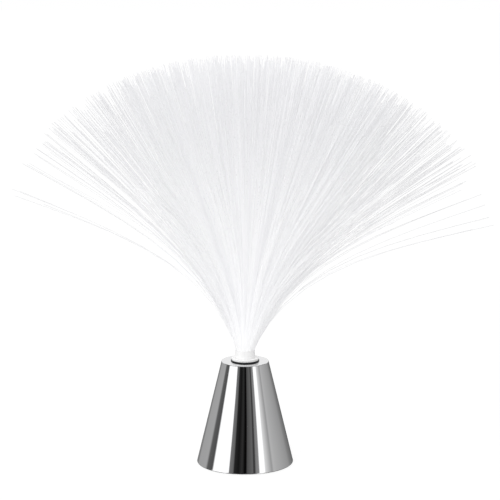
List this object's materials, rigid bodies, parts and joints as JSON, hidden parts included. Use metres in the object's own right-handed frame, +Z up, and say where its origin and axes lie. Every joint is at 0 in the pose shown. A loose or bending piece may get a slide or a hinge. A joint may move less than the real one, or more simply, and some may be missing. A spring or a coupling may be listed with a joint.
{
  "type": "fiber optic lamp",
  "caption": "Small free-standing lamp: a polished chrome cone with cells, lights and a slide switch inside, and a lift-out dome of fine white optical fibres in a flanged collar on top.",
  "frame": {"origin": "on the cone's axis, on the surface that the lamp stands on", "axes": "+Z up along the cone's axis, -Y the front that the picture shows, +X to the right seen from the front, on the side of the switch"},
  "size_m": [0.3996, 0.3994, 0.3296],
  "materials": {
    "chrome": "polished mirror-bright chrome plating",
    "white_plastic": "satin white moulding",
    "fibre": "gloss drawn clear plastic that looks white in the mass",
    "black_plastic": "matte fine-textured moulding",
    "clear_plastic": "polished clear disc",
    "board": "satin green solder mask",
    "resin": "gloss black potting resin",
    "steel": "satin nickel-plated sheet, wire and screws",
    "rubber": "matte rubber",
    "cell_skin": "satin plain sleeve without lettering",
    "emitter_red": "gloss tinted clear epoxy",
    "emitter_green": "gloss tinted clear epoxy",
    "emitter_blue": "gloss tinted clear epoxy",
    "lead_red": "satin insulation",
    "lead_black": "satin insulation"
  },
  "bodies": {
    "base": {"cone_shell": "chrome", "socket_bush": "black_plastic", "bush_nut": "black_plastic", "led_housing": "white_plastic", "lens_window": "clear_plastic", "led_board": "board", "led_red": "emitter_red", "led_green": "emitter_green", "led_blue": "emitter_blue", "controller_blob": "resin", "resistor_1": "resin", "resistor_2": "resin", "base_plate": "black_plastic", "switch_body": "steel", "foot_1": "rubber", "foot_2": "rubber", "foot_3": "rubber", "foot_4": "rubber", "battery_cell_1": "cell_skin", "battery_cell_2": "cell_skin", "battery_cell_3": "cell_skin", "contact_spring_1": "steel", "contact_spring_2": "steel", "contact_spring_3": "steel", "contact_positive": "steel", "contact_negative": "steel", "contact_link_front": "steel", "contact_link_back": "steel", "board_screw_1": "steel", "board_screw_2": "steel", "plate_screw_1": "steel", "plate_screw_2": "steel", "plate_screw_3": "steel", "switch_screw_1": "steel", "switch_screw_2": "steel", "wire_supply": "lead_red", "wire_switched": "lead_red", "wire_return": "lead_black"},
    "door": {"battery_door": "black_plastic"},
    "switch": {"switch_knob": "black_plastic"},
    "collar": {"collar": "white_plastic"},
    "head": {"bundle_sleeve": "white_plastic", "fibre_sector_1": "fibre", "fibre_sector_2": "fibre", "fibre_sector_3": "fibre", "fibre_sector_4": "fibre", "fibre_sector_5": "fibre", "fibre_sector_6": "fibre"}
  },
  "joints": [
    {"name": "switch_slide", "type": "slide", "parent": "base", "child": "switch", "axis": [0, 1, 0], "range_m": [0, 0.003]},
    {"name": "door_swing", "type": "hinge", "parent": "base", "child": "door", "pos_m": [0, -0.0252, 0.0008], "axis": [-1, 0, 0], "range_deg": [0, 85]},
    {"name": "head_lift", "type": "slide", "parent": "base", "child": "collar", "axis": [0, 0, 1], "range_m": [0, 0.03]},
    {"name": "spray_turn", "type": "hinge", "parent": "collar", "child": "head", "pos_m": [0, 0, 0.0869], "axis": [0, 0, 1], "continuous": true}
  ]
}
